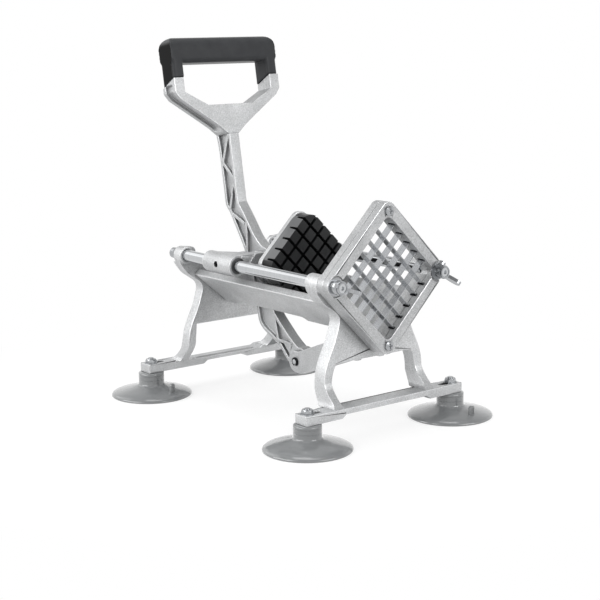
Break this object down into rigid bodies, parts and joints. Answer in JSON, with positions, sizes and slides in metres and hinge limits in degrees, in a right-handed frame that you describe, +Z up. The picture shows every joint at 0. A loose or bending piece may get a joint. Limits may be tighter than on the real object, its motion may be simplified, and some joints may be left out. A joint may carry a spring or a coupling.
{
  "type": "french fry cutter",
  "caption": "Lever-operated french fry cutter: a pin-faced pusher slides on two rods and presses a potato from a V trough through a square blade grid; stands on suction cups.",
  "frame": {"origin": "on the table, midway between the four suction cups", "axes": "+X toward the blades along the cut, +Y to the left, +Z up"},
  "size_m": [0.3304, 0.2524, 0.3511],
  "materials": {
    "cast_aluminium": "bead-blasted casting, satin",
    "polished_steel": "ground and polished",
    "blade_steel": "stainless strip",
    "plated_steel": "zinc plated",
    "black_nylon": "moulded, satin",
    "grey_acetal": "turned, satin",
    "black_steel": "phosphated spring steel",
    "black_grip": "moulded, satin",
    "grey_rubber": "glossy moulded rubber"
  },
  "bodies": {
    "frame": {"front_frame": "cast_aluminium", "rear_frame": "cast_aluminium", "trough": "cast_aluminium", "guide_rod_left": "polished_steel", "guide_rod_right": "polished_steel", "rod_end_nuts": "plated_steel", "blade_frame_front": "cast_aluminium", "blade_frame_back": "cast_aluminium", "blades_rising": "blade_steel", "blades_falling": "blade_steel", "blade_frame_screws": "plated_steel", "wing_nut_washers": "plated_steel", "cup_front_left": "grey_rubber", "cup_front_right": "grey_rubber", "cup_rear_left": "grey_rubber", "cup_rear_right": "grey_rubber", "cup_studs": "plated_steel", "cup_nuts": "plated_steel", "cup_washers": "plated_steel", "anchor_pins": "polished_steel"},
    "carriage": {"carriage": "cast_aluminium", "bushings": "grey_acetal", "set_screws": "plated_steel", "pusher_plate": "cast_aluminium", "pusher_block": "black_nylon", "pusher_screws": "plated_steel", "pusher_standoffs": "plated_steel", "lever_pin": "polished_steel", "lever_pin_rings": "black_steel"},
    "lever": {"lever": "cast_aluminium", "grip": "black_grip"},
    "link": {"link": "cast_aluminium", "link_pin": "polished_steel", "link_pin_rings": "black_steel"},
    "wing_nut_left": {"wing_nut_left": "plated_steel"},
    "wing_nut_right": {"wing_nut_right": "plated_steel"}
  },
  "joints": [
    {"name": "carriage_slide", "type": "slide", "parent": "frame", "child": "carriage", "axis": [1, 0, 0], "range_m": [0, 0.1054]},
    {"name": "lever_swing", "type": "hinge", "parent": "carriage", "child": "lever", "pos_m": [-0.04615, 0, 0.134], "axis": [0, 1, 0], "range_deg": [0, 57.9]},
    {"name": "link_swing", "type": "hinge", "parent": "lever", "child": "link", "pos_m": [0.01285, 0, 0.0465], "axis": [0, 1, 0], "range_deg": [-65, 0]},
    {"name": "wing_nut_left_turn", "type": "hinge", "parent": "frame", "child": "wing_nut_left", "pos_m": [0.1341, 0.06058, 0.142], "axis": [1, 0, 0], "continuous": true},
    {"name": "wing_nut_right_turn", "type": "hinge", "parent": "frame", "child": "wing_nut_right", "pos_m": [0.1341, -0.06058, 0.142], "axis": [1, 0, 0], "continuous": true}
  ],
  "couplings": [
    {"joint": "lever_swing", "follows": "carriage_slide", "rad_per_m": 9.5744},
    {"joint": "link_swing", "follows": "carriage_slide", "rad_per_m": -10.743}
  ]
}
